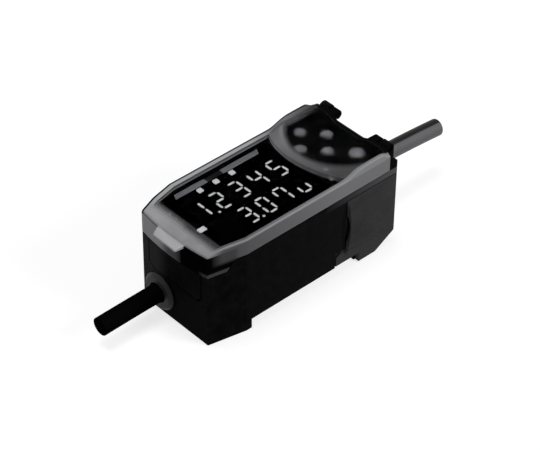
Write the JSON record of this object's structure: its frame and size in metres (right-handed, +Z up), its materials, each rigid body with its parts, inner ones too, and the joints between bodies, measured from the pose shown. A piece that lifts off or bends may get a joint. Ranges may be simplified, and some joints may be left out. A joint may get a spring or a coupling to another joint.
{
  "type": "proximity sensor amplifier",
  "caption": "Small rail-mounted amplifier for a proximity sensor head, with a smoked hinged cover over displays and keys, sliding side covers and a cord at each end.",
  "frame": {"origin": "centre of the footprint of the body with its bushings and finger tab, cords left out, on the surface that the feet stand on", "axes": "+X from the output cord's end to the sensor cord's end, +Y across to the far side, +Z up"},
  "size_m": [0.1163, 0.03, 0.0325],
  "materials": {
    "case_black": "fine-textured moulded black",
    "panel_black": "smooth satin moulded black",
    "smoked_cover": "polished smoke-tinted clear moulding",
    "window": "polished dark filter sheet",
    "display_face": "black potted display module",
    "light_guide": "clear milky moulding",
    "key_grey": "satin grey moulded key cap",
    "knob_white": "off-white moulded knob",
    "switch_black": "black moulded switch or header body",
    "switch_metal": "stamped switch frame",
    "board_green": "solder-masked glass-epoxy board",
    "chip_black": "moulded epoxy package",
    "ferrite_grey": "fired ferrite core",
    "can_metal": "drawn aluminium can",
    "connector_cream": "cream moulded connector shell",
    "bush_rubber": "moulded black bushing",
    "cord_black": "matt black vinyl jacket",
    "cord_grey": "satin dark grey vinyl jacket"
  },
  "bodies": {
    "housing": {"lower_case": "case_black", "upper_case": "case_black", "front_end_plate": "case_black", "display_window": "window", "main_display": "display_face", "sub_display": "display_face", "output_light_guide": "light_guide", "power_light_guide": "light_guide", "tact_switch_left": "switch_metal", "tact_switch_right": "switch_metal", "tact_switch_up": "switch_metal", "tact_switch_down": "switch_metal", "tact_switch_enter": "switch_metal", "mode_switch_body": "switch_black", "threshold_switch_body": "switch_black", "display_board": "board_green", "main_board": "board_green", "board_connector": "switch_black", "processor": "chip_black", "power_inductor": "ferrite_grey", "supply_capacitor": "can_metal", "near_side_connector": "connector_cream", "far_side_connector": "connector_cream", "output_cord_bushing": "bush_rubber", "sensor_cord_bushing": "bush_rubber", "output_cord": "cord_black", "sensor_cord": "cord_grey"},
    "cover": {"protective_cover": "smoked_cover"},
    "left_key": {"key_left": "key_grey"},
    "right_key": {"key_right": "key_grey"},
    "up_key": {"key_up": "key_grey"},
    "down_key": {"key_down": "key_grey"},
    "enter_key": {"key_enter": "key_grey"},
    "mode_knob": {"mode_switch_knob": "knob_white"},
    "threshold_knob": {"threshold_switch_knob": "knob_white"},
    "near_side_cover": {"near_connector_cover": "panel_black"},
    "far_side_cover": {"far_connector_cover": "panel_black"}
  },
  "joints": [
    {"name": "cover_hinge", "type": "hinge", "parent": "housing", "child": "cover", "pos_m": [0.03195, 0, 0.0308], "axis": [0, 1, 0], "range_deg": [0, 110]},
    {"name": "left_key_press", "type": "slide", "parent": "housing", "child": "left_key", "axis": [0, 0, -1], "range_m": [0, 0.0004], "stiffness_N_per_m": 2500},
    {"name": "right_key_press", "type": "slide", "parent": "housing", "child": "right_key", "axis": [0, 0, -1], "range_m": [0, 0.0004], "stiffness_N_per_m": 2500},
    {"name": "up_key_press", "type": "slide", "parent": "housing", "child": "up_key", "axis": [0, 0, -1], "range_m": [0, 0.0004], "stiffness_N_per_m": 2500},
    {"name": "down_key_press", "type": "slide", "parent": "housing", "child": "down_key", "axis": [0, 0, -1], "range_m": [0, 0.0004], "stiffness_N_per_m": 2500},
    {"name": "enter_key_press", "type": "slide", "parent": "housing", "child": "enter_key", "axis": [0, 0, -1], "range_m": [0, 0.0004], "stiffness_N_per_m": 2500},
    {"name": "mode_switch_slide", "type": "slide", "parent": "housing", "child": "mode_knob", "axis": [1, 0, 0], "range_m": [0, 0.003]},
    {"name": "threshold_switch_slide", "type": "slide", "parent": "housing", "child": "threshold_knob", "axis": [1, 0, 0], "range_m": [0, 0.0015]},
    {"name": "near_side_cover_slide", "type": "slide", "parent": "housing", "child": "near_side_cover", "axis": [1, 0, 0], "range_m": [0, 0.012]},
    {"name": "far_side_cover_slide", "type": "slide", "parent": "housing", "child": "far_side_cover", "axis": [1, 0, 0], "range_m": [0, 0.012]}
  ]
}
